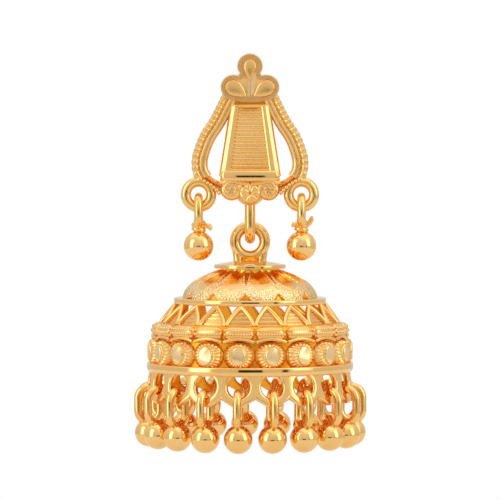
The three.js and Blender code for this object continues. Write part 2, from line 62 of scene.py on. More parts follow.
# Stud
PETAL_RADIUS = 1.25
TOP_PETAL = (0.0, 5.88)
SIDE_PETAL = (1.64, 3.8)
CROWN_MIDDLE = (0.0, 4.3)
CROWN_FOOT = 2.3
CROWN_DEPTH = 1.3
CROWN_RIM = 0.42
CROWN_HOLLOW = 0.14
STUD_DEPTH = 0.9
PANEL_TOP = 1.9
PANEL_TOP_HALF = 1.98
PANEL_FOOT = -5.4
PANEL_FOOT_HALF = 3.13
RIBS_TOP_HALF = 1.0
RIBS_FOOT_HALF = 1.93
RIB_PITCH = 0.36
RIB_HEIGHT = 0.08
RAIL_PROUD = 0.45
ROLL_LEVEL = -4.95
ROLL_RADIUS = 0.52
SIDE_LOBE = (1.83, -6.3)
SIDE_LOBE_RADIUS = 1.08
MID_LOBE = (0.0, -6.66)
MID_LOBE_RADIUS = 1.18
ARM_TOP = 2.3
ARM_FOOT = -5.15
ARM_REACH = 4.95
ARM_HALF = 0.775
CURL_HALF = 0.5
GADROON_PITCH = 0.52
SIDE_RING = (5.07, -6.78)
SIDE_RING_RADIUS = 1.255
SIDE_RING_WIRE = 0.5
LOOP_LEVEL = -6.37
LOOP_RADIUS = 1.18
LOOP_WIRE = 0.38
POST_RADIUS = 0.42
POST_LENGTH = 10.2
# How far before the stud's back each form starts, so that no two backs share a plane
BACKS = {
    "side_lobe": 0.02,
    "panel": 0.03,
    "mid_lobe": 0.04,
    "arm": 0.05,
    "web": 0.07,
    "curl": 0.09,
    "neck": 0.1,
    "backing": 0.12,
    "gusset": 0.14,
}

# Link and bell, about an axis behind the stud
AXIS_DEPTH = 1.6
LINK_HALF_WIDTH = 1.275
LINK_HALF_HEIGHT = 2.33
LINK_WIRE = 0.525
LINK_TOP = -6.525
BAIL_CENTRE = -11.465
BAIL_RADIUS = 1.465
BAIL_WIRE = 0.54
DISC_TOP = -13.77
DISC_RADIUS = 3.56
DISC_CROWN = 0.45
CAP_TOP = -14.12
CAP_CORE = 2.0
CAP_SWELL = 4.7
CAP_FULLNESS = 1.6
CAP_RISE = 3.06
CAP_TOP_TURN = math.radians(72)
BAND_TOP = -17.03
BAND_RADIUS = 7.56
BAND_INNER_RADIUS = 6.4
ARCH_TOP = -17.63
ARCH_TOP_RADIUS = 7.4
ARCH_FOOT = -19.54
ARCH_FOOT_RADIUS = 8.85
CUSHION_FOOT = -21.2
CUSHION_RADIUS = 9.26
CUSHION_PROUD = 0.5
CUSHION_HALF_HEIGHT = 0.72
BOSS_RADIUS = 10.2
BOSS_LEVEL = -22.31
BOSS_RIBS = 22
LOWER_BAND_TOP = -23.42
BELL_RADIUS = 10.25
LOWER_BAND_INNER_RADIUS = 9.35
SKIRT_TOP = -24.27
SKIRT_RADIUS = 10.0
SKIRT_FLARE = 0.5
SKIRT_WALL = 0.65
RIM_LEVEL = -27.28
OPENING_CENTRE = -25.28
OPENING_RADIUS = 1.1
NOTCH_RISE = 0.75
LOBE_WIDTH = 0.8
REPEATS = 19
PETALS = 12
PHASE = math.radians(-6.5)
PETAL_PHASE = math.radians(11.0)

# Small drops
RIM_DROP_RADIUS = 10.09
RIM_LOOP_TOP = -25.86
RIM_LOOP_HALF_WIDTH = 1.08
RIM_LOOP_HALF_HEIGHT = 1.7
RIM_LOOP_WIRE = 0.4
RIM_BALL_LEVEL = -30.36
RIM_BALL_RADIUS = 1.4
SIDE_DROP_DEPTH = -0.45
SIDE_LOOP_TOP = -6.995
SIDE_LOOP_HALF_WIDTH = 1.1
SIDE_LOOP_HALF_HEIGHT = 1.45
SIDE_LOOP_WIRE = 0.42
SIDE_NECK_TOP = -9.27
SIDE_NECK_HEIGHT = 1.25
SIDE_NECK_RADIUS = 0.72
SIDE_BALL_LEVEL = -11.84
SIDE_BALL_RADIUS = 1.47


class Form:
    """Points in millimetres and faces with a finish each, gathered before they become a mesh."""

    def __init__(self):
        self.points = []
        self.faces = []
        self.finishes = []
        self.count = 0

    def add(self, shape, finish=0):
        points, faces = shape
        self.points.append(np.asarray(points, float).reshape(-1, 3))
        self.faces += [tuple(int(i) + self.count for i in face) for face in faces]
        self.finishes += [finish] * len(faces) if np.isscalar(finish) else list(finish)
        self.count += len(self.points[-1])
        return self


def moved(shape, x=0.0, y=0.0, z=0.0):
    points, faces = shape
    return np.asarray(points) + (x, y, z), faces


def spun(shape, angle):
    """The shape turned about Z, the front towards +X."""
    points, faces = shape
    c, s = math.cos(angle), math.sin(angle)
    return np.asarray(points) @ np.array([[c, s, 0], [-s, c, 0], [0, 0, 1]]), faces


def mirrored(shape, side):
    points, faces = shape
    return np.asarray(points) * (side, 1, 1), faces


def repeated(shape, count=REPEATS, phase=PHASE):
    """Copies of a shape about Z as one shape."""
    base, faces = shape
    base = np.asarray(base)
    faces = [tuple(face) for face in faces]
    points, all_faces = [], []
    for i in range(count):
        points.append(spun((base, faces), phase + FULL_TURN * i / count)[0])
        all_faces += [tuple(k + i * len(base) for k in face) for face in faces]
    return np.vstack(points), all_faces


def grid(rows, closed=False):
    """Quads over rows of points; closed joins the end of each row to its start."""
    rows = np.asarray(rows, float)
    index = np.arange(rows.shape[0] * rows.shape[1]).reshape(rows.shape[:2])
    if closed:
        index = np.hstack([index, index[:, :1]])
    corners = [index[:-1, :-1], index[:-1, 1:], index[1:, 1:], index[1:, :-1]]
    return rows.reshape(-1, 3), np.stack(corners, -1).reshape(-1, 4)


def stack(loops, ends=True):
    """A skin over loops of equal length, with its first and last loop closed by a face."""
    points, quads = grid(loops, closed=True)
    faces = [tuple(quad) for quad in quads]
    if ends:
        size = len(loops[0])
        faces.append(tuple(range(size)))
        faces.append(tuple(range(len(points) - size, len(points))))
    return points, faces


def softened(points, reach, closed=True, steps=4):
    """An outline with its corners rounded over a reach on both sides of each."""
    points = np.asarray(points, float)
    out = []
    for i, corner in enumerate(points):
        if not closed and i in (0, len(points) - 1):
            out.append(corner)
            continue
        ends = []
        for other in (points[i - 1], points[(i + 1) % len(points)]):
            share = min(0.5, reach / max(np.linalg.norm(other - corner), 1e-9))
            ends.append(corner + (other - corner) * share)
        for t in np.linspace(0, 1, steps + 1):
            out.append((1 - t) ** 2 * ends[0] + 2 * t * (1 - t) * corner + t**2 * ends[1])
    return np.array(out)


def curve(points, steps):
    """A smooth curve through points, evenly spaced along its length."""
    points = np.asarray(points, float)
    ends = np.vstack([2 * points[0] - points[1], points, 2 * points[-1] - points[-2]])
    fine = []
    for i in range(len(points) - 1):
        a, b, c, d = ends[i : i + 4]
        for t in np.linspace(0, 1, 24, endpoint=False):
            bend = (2 * a - 5 * b + 4 * c - d) * t * t + (3 * b - a - 3 * c + d) * t**3
            fine.append(0.5 * (2 * b + (c - a) * t + bend))
    fine.append(points[-1])
    fine = np.array(fine)
    run = np.concatenate([[0], np.cumsum(np.linalg.norm(np.diff(fine, axis=0), axis=1))])
    places = np.linspace(0, run[-1], steps)
    return np.stack([np.interp(places, run, column) for column in fine.T], 1)


def turned(profile, steps, relief=None, closed=True):
    """A form turned about Z from (radius, height) pairs; a closed profile comes back to its start."""
    profile = np.asarray(profile, float)
    if closed:
        profile = np.vstack([profile, profile[:1]])
    angle = np.linspace(0, FULL_TURN, steps, endpoint=False)[None, :]
    radius = np.repeat(profile[:, :1], steps, 1)
    height = np.repeat(profile[:, 1:], steps, 1)
    if relief:
        radius, height = relief(np.broadcast_to(angle, radius.shape), radius, height)
    rows = np.stack([radius * np.sin(angle), -radius * np.cos(angle), height], -1)
    return grid(rows, closed=True)


def ball(radius, steps=40):
    turn = np.linspace(0, math.pi, steps // 2 + 1)
    profile = np.stack([radius * np.sin(turn), radius * np.cos(turn)], 1)
    return turned(profile, steps, closed=False)


def tube(path, radius, sides=16, closed=False):
    """A round wire along a path; radius may be one value for each point."""
    path = np.asarray(path, float)
    radii = np.broadcast_to(radius, len(path))
    if closed:
        along = np.roll(path, -1, 0) - np.roll(path, 1, 0)
    else:
        along = np.gradient(path, axis=0)
    along /= np.linalg.norm(along, axis=1, keepdims=True)
    across = np.cross(along[0], (0.31, 0.17, 0.93))
    turn = np.linspace(0, FULL_TURN, sides, endpoint=False)[:, None]
    loops = []
    for place, direction, size in zip(path, along, radii):
        across = across - direction * np.dot(across, direction)
        across /= np.linalg.norm(across)
        other = np.cross(direction, across)
        loops.append(place + size * (np.cos(turn) * across + np.sin(turn) * other))
    if closed:
        return stack(loops + loops[:1], ends=False)
    return stack(loops)


def ring_path(half_width, half_height, steps=72):
    """A ring in the XZ plane, drawn out along Z where it is taller than wide."""
    turn = np.linspace(0, FULL_TURN, steps, endpoint=False) + math.pi / steps
    shift = np.sign(np.sin(turn)) * (half_height - half_width)
    z = half_width * np.sin(turn) + shift
    return np.stack([half_width * np.cos(turn), np.zeros(steps), z], 1)


def radial(path):
    """A path in the XZ plane turned into the YZ plane."""
    return np.stack([path[:, 1], -path[:, 0], path[:, 2]], 1)


def raised(outline, depth):
    """Points of an XZ outline at a depth in front of the stud's back."""
    outline = np.asarray(outline, float)
    y = np.broadcast_to(-np.asarray(depth, float), len(outline))
    return np.stack([outline[:, 0], y, outline[:, 1]], 1)


def shrunk(outline, share):
    outline = np.asarray(outline, float)
    middle = outline.mean(0)
    return middle + (outline - middle) * share


def pillow(outline, base, height, steps=8, flat=0.0):
    """A domed boss on an outline, from a depth up to base + height."""
    loops = [raised(outline, 0.2 * base), raised(outline, base)]
    for turn in np.linspace(0.0, math.pi / 2, steps)[1:]:
        share = flat + (1 - flat) * math.cos(turn)
        loops.append(raised(shrunk(outline, max(share, 0.02)), base + height * math.sin(turn)))
    return stack(loops)


# Gold finishes: each has its own colour range, roughness range and fine relief. The deep orange golds for
# recesses and hollows are painted shade, standing in for the shade and gold-on-gold bounce that fall
# there. The paler gold on the mirror flats is a painted highlight.


def gold(name, light, dark, rough, grain, relief, stipple=0.0):
    """A procedural gold: colours and roughness drift over the surface, relief is the bump's depth."""
    material = bpy.data.materials.new(name)
    material.use_nodes = True
    nodes, links = material.node_tree.nodes, material.node_tree.links
    shader = nodes["Principled BSDF"]
    shader.inputs["Metallic"].default_value = 1.0
    place = nodes.new("ShaderNodeTexCoord")
    drift = nodes.new("ShaderNodeTexNoise")
    drift.inputs["Scale"].default_value = 260.0
    drift.inputs["Detail"].default_value = 3.0
    links.new(place.outputs["Object"], drift.inputs["Vector"])
    colours = nodes.new("ShaderNodeValToRGB")
    colours.color_ramp.elements[0].position = 0.35
    colours.color_ramp.elements[0].color = (*dark, 1)
    colours.color_ramp.elements[1].position = 0.65
    colours.color_ramp.elements[1].color = (*light, 1)
    links.new(drift.outputs["Fac"], colours.inputs["Fac"])
    links.new(colours.outputs["Color"], shader.inputs["Base Color"])
    fine = nodes.new("ShaderNodeTexNoise")
    fine.inputs["Scale"].default_value = grain
    fine.inputs["Detail"].default_value = 4.0
    links.new(place.outputs["Object"], fine.inputs["Vector"])
    gloss = nodes.new("ShaderNodeMapRange")
    gloss.inputs["From Min"].default_value = 0.3
    gloss.inputs["From Max"].default_value = 0.7
    gloss.inputs["To Min"].default_value = rough[0]
    gloss.inputs["To Max"].default_value = rough[1]
    links.new(fine.outputs["Fac"], gloss.inputs["Value"])
    links.new(gloss.outputs["Result"], shader.inputs["Roughness"])
    bump = nodes.new("ShaderNodeBump")
    bump.inputs["Strength"].default_value = 0.6
    bump.inputs["Distance"].default_value = relief * MM
    links.new(fine.outputs["Fac"], bump.inputs["Height"])
    last = bump
    if stipple:
        cells = nodes.new("ShaderNodeTexVoronoi")
        cells.inputs["Scale"].default_value = 5200.0
        links.new(place.outputs["Object"], cells.inputs["Vector"])
        dots = nodes.new("ShaderNodeBump")
        dots.inputs["Strength"].default_value = 0.9
        dots.inputs["Distance"].default_value = stipple * MM
        links.new(cells.outputs["Distance"], dots.inputs["Height"])
        links.new(bump.outputs["Normal"], dots.inputs["Normal"])
        last = dots
    links.new(last.outputs["Normal"], shader.inputs["Normal"])
    return material


POLISHED = gold("gold_polished", (0.95, 0.6, 0.23), (0.92, 0.56, 0.19), (0.05, 0.1), 900.0, 0.002)
WIRE = gold("gold_wire", (0.95, 0.595, 0.22), (0.9, 0.55, 0.17), (0.1, 0.18), 1200.0, 0.004)
SATIN = gold("gold_satin", (0.93, 0.58, 0.22), (0.88, 0.52, 0.17), (0.2, 0.32), 2200.0, 0.005)
FLAT = gold("gold_flat", (0.9, 0.55, 0.23), (0.86, 0.51, 0.2), (0.26, 0.36), 2400.0, 0.003)
STIPPLED = gold("gold_stippled", (0.95, 0.68, 0.34), (0.9, 0.58, 0.24), (0.18, 0.3), 3000.0, 0.01, 0.07)
# Painted shade: a deep orange gold put on recesses, backs and walls in place of the shade and
# inter-reflection that fall there
PAINTED_SHADE = gold("gold_painted_shade", (0.93, 0.42, 0.03), (0.85, 0.34, 0.015), (0.22, 0.36), 2000.0, 0.012)
# Painted shade: a yellower deep orange gold for the cap's valleys and upper dishes, in place of the shade
# that falls in them
PAINTED_HOLLOW_SHADE = gold("gold_painted_hollow_shade", (0.98, 0.62, 0.12), (0.95, 0.56, 0.08), (0.2, 0.34), 2000.0, 0.012)
# Painted highlight: a paler gold for polished flats, in place of the bright reflection they catch
MIRROR_PAINTED_HIGHLIGHT = gold("gold_mirror_painted_highlight", (0.97, 0.7, 0.36), (0.95, 0.64, 0.3), (0.2, 0.26), 700.0, 0.002)


def piece(name, form, finishes, body, *nodes, slot=None, sharp=38.0):
    """Makes a mesh of a form, lets it ride on a body and stand for CAD nodes."""
    mesh = bpy.data.meshes.new(name)
    mesh.from_pydata(np.vstack(form.points) * MM, [], form.faces)
    for finish in finishes:
        mesh.materials.append(finish)
    mesh.polygons.foreach_set("material_index", form.finishes)
    skin = bmesh.new()
    skin.from_mesh(mesh)
    bmesh.ops.remove_doubles(skin, verts=skin.verts, dist=1e-7)
    bmesh.ops.recalc_face_normals(skin, faces=skin.faces)
    skin.to_mesh(mesh)
    skin.free()
    mesh.shade_smooth()
    mesh.set_sharp_from_angle(angle=math.radians(sharp))
    made = bpy.data.objects.new(name, mesh)
    bpy.context.scene.collection.objects.link(made)
    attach(made, body)
    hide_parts(*nodes)
    return made


# Stud


def trefoil(inset, steps=240):
    """Outline of three petals and their foot, as seen from the middle of the crown."""
    discs = [TOP_PETAL, SIDE_PETAL, (-SIDE_PETAL[0], SIDE_PETAL[1])]
    foot_reach = 7.2
    rounds = [(x, z, PETAL_RADIUS) for x, z in discs]
    rounds.append((0.0, CROWN_FOOT + foot_reach, foot_reach))
    turn = np.linspace(0, FULL_TURN, steps, endpoint=False)
    rays = np.stack([np.cos(turn), np.sin(turn)], 1)
    reach = np.full(steps, 1.35 - inset)
    for x, z, radius in rounds[:3]:
        offset = np.array([x, z]) - CROWN_MIDDLE
        along = rays @ offset
        inside = along**2 - offset @ offset + (radius - inset) ** 2
        reach = np.where(inside > 0, np.maximum(reach, along + np.sqrt(np.maximum(inside, 0))), reach)
    x, z, radius = rounds[3]
    offset = np.array([x, z]) - CROWN_MIDDLE
    along = rays @ offset
    limit = along + np.sqrt(along**2 - offset @ offset + (radius - inset) ** 2)
    low = rays[:, 1] < -0.2
    corner = SIDE_PETAL[0] + 0.75 * PETAL_RADIUS - inset
    side_limit = corner / np.maximum(np.abs(rays[:, 0]), 1e-6)
    reach = np.where(low, np.minimum(limit, np.maximum(side_limit, reach)), reach)
    return CROWN_MIDDLE + rays * reach[:, None]


def teardrop(head, radius, tip, steps=40):
    """Outline with a round head and a point at its tip."""
    head, tip = np.array(head), np.array(tip)
    axis = head - tip
    length = np.linalg.norm(axis)
    axis /= length
    side = np.array([-axis[1], axis[0]])
    turn = np.linspace(0, FULL_TURN, steps, endpoint=False)
    along = (length + radius) * (0.5 - 0.5 * np.cos(turn))
    width = radius * np.sin(turn) * np.sqrt(np.maximum(0.5 - 0.5 * np.cos(turn), 0)) * 1.24
    return tip + along[:, None] * axis + width[:, None] * side


def crown():
    form = Form()
    outside, inside = trefoil(0.0), trefoil(CROWN_RIM)
    edge = 0.09
    body = [
        raised(outside, 0.0),
        raised(outside, CROWN_DEPTH - edge),
        raised(trefoil(edge), CROWN_DEPTH),
        raised(trefoil(CROWN_RIM - edge / 2), CROWN_DEPTH),
        raised(inside, CROWN_DEPTH - CROWN_HOLLOW),
    ]
    form.add(stack(body), 0)
    floor = CROWN_DEPTH - CROWN_HOLLOW
    form.add(pillow(teardrop((0.0, 5.92), 0.62, (0.0, 4.35)), floor, 0.16), 1)
    for side in (-1, 1):
        petal = teardrop((side * 1.62, 3.72), 0.82, (side * 0.32, 2.86))
        form.add(pillow(petal, floor, 0.16), 1)
    # The stem and facet flats take the paler mirror gold, whose paler colour is a painted highlight
    stem = [(-0.3, 2.85), (-0.16, 4.6), (0.0, 4.7), (0.0, 2.75)]
    facet = [(0.06, 2.75), (0.06, 4.4), (0.5, 5.3), (0.66, 5.3), (0.42, 3.2)]
    for shape, lean in ((stem, -0.16), (facet, 0.2)):
        face = shrunk(shape, 0.92)
        depth = floor + 0.11 + lean * (face[:, 0] - face[:, 0].mean())
        form.add(stack([raised(shape, floor - 0.1), raised(face, depth)]), 2)
    piece("crown", form, (FLAT, SATIN, MIRROR_PAINTED_HIGHLIGHT), "stud", "stud")


def half_width(top, foot, z):
    """Half width of the panel at a height, between its top and its foot."""
    share = (PANEL_TOP - z) / (PANEL_TOP - PANEL_FOOT)
    return top + (foot - top) * share


def panel():
    form = Form()
    heights = np.arange(PANEL_TOP, ROLL_LEVEL, -RIB_PITCH / 8)
    ribs = RIB_HEIGHT * np.abs(np.sin(math.pi * (PANEL_TOP - heights) / RIB_PITCH)) ** 0.7
    rows = []
    for z, rib in zip(heights, ribs):
        edge = half_width(PANEL_TOP_HALF, PANEL_FOOT_HALF, z)
        inner = half_width(RIBS_TOP_HALF, RIBS_FOOT_HALF, z)
        across = np.linspace(-1, 1, 17)
        floor = STUD_DEPTH - 0.05 + rib - 0.06 * (1 - across**2)
        crest = STUD_DEPTH + RAIL_PROUD
        rail = [(edge, BACKS["panel"]), (edge, 0.85), (edge - 0.05, 0.97), (edge - 0.2, crest - 0.2)]
        rail += [(inner + 0.36, crest - 0.02), (inner + 0.22, crest), (inner + 0.12, crest - 0.06)]
        rail += [(inner + 0.02, STUD_DEPTH)]
        row = [(-x, depth) for x, depth in rail]
        row += [(inner * x, depth) for x, depth in zip(across, floor)]
        row += [(x, depth) for x, depth in reversed(rail)]
        rows.append([(x, -depth, z) for x, depth in row])
    finish = []
    columns = len(rows[0])
    rail_points = 8
    for column in list(range(columns)) * (len(rows) - 1):
        ribbed = rail_points <= column < columns - rail_points - 1
        finish.append(1 if ribbed else 0)
    points, quads = stack(rows, ends=True)
    form.add((points, quads), finish + [0, 0])
    piece("ribbed_panel", form, (POLISHED, SATIN), "stud", "stud")


def bar(half, tall, deep, bow, fullness=2.0, steps=33, sides=32):
    """A bar along X that bows forward in its middle; above 2, fullness flattens its front."""
    share = np.linspace(-1, 1, steps)
    turn = np.linspace(0, FULL_TURN, sides, endpoint=False) + math.pi / sides
    power = 2.0 / fullness
    front = np.sign(np.cos(turn)) * np.abs(np.cos(turn)) ** power
    up = np.sign(np.sin(turn)) * np.abs(np.sin(turn)) ** power
    taper = np.clip((1 - np.abs(share)) / 0.08, 0.05, 1) ** 0.5
    loops = []
    for place, size in zip(share, taper * (1 - 0.1 * share**2)):
        depth = bow * place**2 - deep * size * front
        loops.append(np.stack([np.full(sides, place * half), depth, tall * size * up], 1))
    return stack(loops)


def bars():
    form = Form()
    roll = bar(2.95, 1.15 * ROLL_RADIUS, 0.9 * ROLL_RADIUS, 0.3, 3.2)
    form.add(moved(roll, y=-STUD_DEPTH - 0.25, z=ROLL_LEVEL + 0.02))
    form.add(moved(bar(1.72, 0.2, 0.2, 0.1), y=-STUD_DEPTH - 0.12, z=1.95))
    backing = [(-2.9, -4.7), (2.9, -4.7), (2.9, -5.45), (-2.9, -5.45)]
    form.add(stack([raised(backing, BACKS["backing"]), raised(backing, STUD_DEPTH)]))
    # The neck plate behind the crown takes the deep orange gold, painted shade
    neck = [(-1.8, 3.0), (1.8, 3.0), (1.95, 1.62), (-1.95, 1.62)]
    form.add(stack([raised(neck, BACKS["neck"]), raised(neck, STUD_DEPTH)]), 1)
    piece("roll_and_bar", form, (POLISHED, PAINTED_SHADE), "stud", "stud")


def lobe(centre, radius, profile, petals, swell, steps=72):
    """A round boss turned about Y with petals pressed into it."""
    turn = np.linspace(0, FULL_TURN, steps, endpoint=False)
    loops = []
    for share, depth in profile:
        wave = swell * math.sin(math.pi * min(share, 1.0)) * np.cos(petals * turn)
        x = centre[0] + radius * share * np.cos(turn)
        z = centre[1] + radius * share * np.sin(turn)
        loops.append(np.stack([x, -(depth + wave), z], 1))
    return stack(loops)


def spiral(centre, start, turns, outer, depth, side):
    """A raised wire that winds in on a lobe."""
    share = np.linspace(0, 1, 60)
    turn = start + side * turns * FULL_TURN * share
    reach = outer * (1 - 0.8 * share)
    x = centre[0] + reach * np.cos(turn)
    z = centre[1] + reach * np.sin(turn)
    path = np.stack([x, -depth - 0.12 * share, z], 1)
    return tube(path, 0.13 * (1 - 0.4 * share), 10)


def scroll():
    form = Form()
    side_profile = [(1, BACKS["side_lobe"]), (1, 0.75), (0.96, 0.95), (0.82, 1.12)]
    side_profile += [(0.6, 1.18), (0.3, 1.2), (0.02, 1.2)]
    mid_profile = [(1, BACKS["mid_lobe"]), (1, 0.8), (0.95, 1.0), (0.8, 1.22), (0.62, 1.3)]
    mid_profile += [(0.45, 1.28), (0.3, 1.3), (0.16, 1.28), (0.02, 1.1)]
    for side in (-1, 1):
        centre = (side * SIDE_LOBE[0], SIDE_LOBE[1])
        form.add(lobe(centre, SIDE_LOBE_RADIUS, side_profile, 3, 0.03), 0)
        start = math.pi / 2 + side * 0.9
        form.add(spiral(centre, start, 1.35, 0.76 * SIDE_LOBE_RADIUS, 1.16, -side), 0)
    form.add(lobe(MID_LOBE, MID_LOBE_RADIUS, mid_profile, 7, 0.05), 0)
    web = [(-3.0, -5.2), (-2.75, -6.7), (-1.2, -7.1), (1.2, -7.1), (2.75, -6.7), (3.0, -5.2)]
    web = softened(web, 0.3)
    plate = stack([raised(web, BACKS["web"]), raised(web, 0.82), raised(shrunk(web, 0.93), 1.0)])
    form.add(plate, 0)
    for side in (-1, 1):
        leaf = [(side * 0.1, -1.05, -5.72), (side * 0.9, -1.15, -5.66), (side * 1.9, -1.12, -5.42)]
        leaf.append((side * 2.75, -0.95, -5.7))
        form.add(tube(curve(leaf, 24), 0.24, 12), 0)
        inner_leaf = [(side * 0.95, -1.0, -5.7), (side * 0.98, -1.12, -6.0), (side * 0.9, -1.05, -6.5)]
        form.add(tube(curve(inner_leaf, 16), 0.2, 10), 0)
    piece("scroll", form, (SATIN, PAINTED_SHADE), "stud", "stud")


# Course of an arm: shares of its reach outward and of its height down
ARM_COURSE = [(0.37, -0.12), (0.45, 0.0), (0.65, 0.26), (0.85, 0.47)]
ARM_COURSE += [(0.97, 0.68), (1.0, 0.8), (0.98, 0.91), (0.91, 1.0)]


def arm_path(steps):
    height = ARM_TOP - ARM_FOOT
    return curve([(out * ARM_REACH, ARM_TOP - down * height) for out, down in ARM_COURSE], steps)


def swept(course, section):
    """A strip along an XZ course; section gives (offset outward, depth) pairs at each length."""
    along = np.gradient(course, axis=0)
    along /= np.linalg.norm(along, axis=1, keepdims=True)
    out = np.stack([-along[:, 1], along[:, 0]], 1)
    run = np.concatenate([[0], np.cumsum(np.linalg.norm(np.diff(course, axis=0), axis=1))])
    loops = []
    for place, normal, length in zip(course, out, run):
        pairs = np.asarray(section(length))
        flat = place + pairs[:, :1] * normal
        loops.append(np.stack([flat[:, 0], -pairs[:, 1], flat[:, 1]], 1))
    return stack(loops)


def arm_section(length):
    """Smooth inner ridge, a valley and an outer half with a rounded tooth at each pitch."""
    tooth = abs(math.sin(math.pi * length / GADROON_PITCH)) ** 0.7
    half = ARM_HALF
    outer = half - 0.03 + 0.08 * tooth
    front = STUD_DEPTH
    return [
        (-half, BACKS["arm"]),
        (-half, 0.6),
        (-0.94 * half, 0.88),
        (-0.8 * half, front + 0.16),
        (-0.55 * half, front + 0.25),
        (-0.25 * half, front + 0.25),
        (-0.02 * half, front + 0.17),
        (0.1 * half, front - 0.04),
        (0.2 * half, front - 0.04),
        (0.34 * half, front + 0.02 + 0.09 * tooth),
        (0.6 * half, front + 0.05 + 0.12 * tooth),
        (0.86 * outer, front - 0.04 + 0.12 * tooth),
        (outer, front - 0.22),
        (outer, BACKS["arm"]),
    ]


def curl_section(length):
    half = CURL_HALF
    front = STUD_DEPTH
    return [
        (-half, BACKS["curl"]),
        (-half, 0.6),
        (-0.8 * half, front + 0.1),
        (-0.5 * half, front + 0.28),
        (-0.15 * half, front + 0.1),
        (0.1 * half, front - 0.1),
        (0.9 * half, front - 0.1),
        (half, 0.6),
        (half, BACKS["curl"]),
    ]


def arms():
    course = arm_path(230)
    foot = curve([(4.62, -4.95), (3.95, -5.55), (3.2, -5.95), (2.4, -6.3)], 60)
    for side, name in ((-1, "left"), (1, "right")):
        form = Form()
        form.add(mirrored(swept(course, arm_section), side), 0)
        form.add(mirrored(swept(foot, curl_section), side), 0)
        beads = curve([(4.5, -5.45), (3.85, -5.85), (3.3, -6.35), (3.05, -6.6)], 6)
        for x, z in beads:
            grain = moved(ball(0.22, 16), x, -STUD_DEPTH - 0.05, z)
            form.add(mirrored(grain, side), 0)
        # The gusset behind each arm takes the deep orange gold, painted shade
        gusset = [(1.4, 2.9), (2.3, 2.9), (2.7, 2.0), (2.2, 0.85), (1.95, 0.85), (1.4, 1.2)]
        gusset = softened(gusset, 0.15)
        layers = [raised(gusset, BACKS["gusset"]), raised(gusset, 0.5)]
        plate = stack(layers + [raised(shrunk(gusset, 0.93), 0.6)])
        form.add(mirrored(plate, side), 1)
        piece("lyre_arm_" + name, form, (SATIN, PAINTED_SHADE), "stud", "stud")


def rings():
    form = Form()
    path = ring_path(SIDE_RING_RADIUS, SIDE_RING_RADIUS)
    for side in (-1, 1):
        ring = tube(path, SIDE_RING_WIRE, 24, closed=True)
        form.add(moved(ring, side * SIDE_RING[0], -STUD_DEPTH / 2, SIDE_RING[1]))
    piece("side_rings", form, (WIRE,), "stud", "stud")
    form = Form()
    loop = tube(ring_path(LOOP_RADIUS, LOOP_RADIUS), LOOP_WIRE, 20, closed=True)
    form.add(moved(loop, 0, AXIS_DEPTH, LOOP_LEVEL))
    foot = [(0, -0.1, LOOP_LEVEL + LOOP_RADIUS), (0, AXIS_DEPTH + 0.25, LOOP_LEVEL + LOOP_RADIUS)]
    form.add(tube(foot, LOOP_WIRE, 20))
    places = np.array([-0.1, POST_LENGTH - 0.7, POST_LENGTH - 0.3, POST_LENGTH])
    post = np.stack([np.zeros(4), places, np.zeros(4)], 1)
    form.add(tube(post, np.array([1, 1, 0.8, 0.3]) * POST_RADIUS, 24))
    piece("loop_and_post", form, (WIRE,), "stud", "stud")


# Link and side drops


def link():
    path = radial(ring_path(LINK_HALF_WIDTH, LINK_HALF_HEIGHT, 96))
    form = Form()
    wire = tube(path, LINK_WIRE, 24, closed=True)
    form.add(moved(wire, 0, AXIS_DEPTH, LINK_TOP - LINK_HALF_HEIGHT))
    piece("link_wire", form, (WIRE,), "link", "hanging_link")


# Ends of the wire wrapped round each side drop's neck: x and y from the drop's axis, and a level
TAILS = {
    "left": [[(0.45, 0.0, -9.95), (0.9, -0.05, -9.85), (1.12, -0.1, -10.0), (0.98, -0.15, -10.2)]],
    "right": [
        [(0.35, 0.0, -9.9), (0.8, -0.05, -9.6), (1.0, -0.05, -9.2), (1.18, -0.05, -9.12)],
        [(-0.4, 0.0, -9.75), (-0.8, 0.0, -9.75), (-0.95, 0.0, -9.72)],
    ],
}


def side_drop(name, side):
    form = Form()
    path = radial(ring_path(SIDE_LOOP_HALF_WIDTH, SIDE_LOOP_HALF_HEIGHT))
    loop = tube(path, SIDE_LOOP_WIRE, 20, closed=True)
    form.add(moved(loop, z=SIDE_LOOP_TOP - SIDE_LOOP_HALF_HEIGHT), 0)
    turns = 2.6
    share = np.linspace(0, 1, 90)
    turn = FULL_TURN * turns * share
    reach = SIDE_NECK_RADIUS - 0.24
    level = SIDE_NECK_TOP - 0.22 - (SIDE_NECK_HEIGHT - 0.3) * share
    wrap = np.stack([reach * np.sin(turn), -reach * np.cos(turn), level], 1)
    form.add(tube(wrap, 0.24, 12), 0)
    # The neck's core inside the wrapped wire takes the deep orange gold, painted shade
    core = [(0, 0, SIDE_NECK_TOP), (0, 0, SIDE_NECK_TOP - SIDE_NECK_HEIGHT - 0.15)]
    form.add(tube(core, reach, 16), 1)
    for tail in TAILS[name]:
        form.add(tube(curve(tail, 20), 0.25, 12), 0)
    form.add(moved(ball(SIDE_BALL_RADIUS, 56), z=SIDE_BALL_LEVEL), 2)
    placed = Form()
    whole = (np.vstack(form.points), form.faces)
    placed.add(moved(whole, side * SIDE_RING[0], SIDE_DROP_DEPTH), form.finishes)
    finishes = (WIRE, PAINTED_SHADE, POLISHED)
    piece("side_drop_look_" + name, placed, finishes, "stud", "side_drop_" + name, slot="drop")


# Bell


def about_axis(shape):
    return moved(shape, y=AXIS_DEPTH)


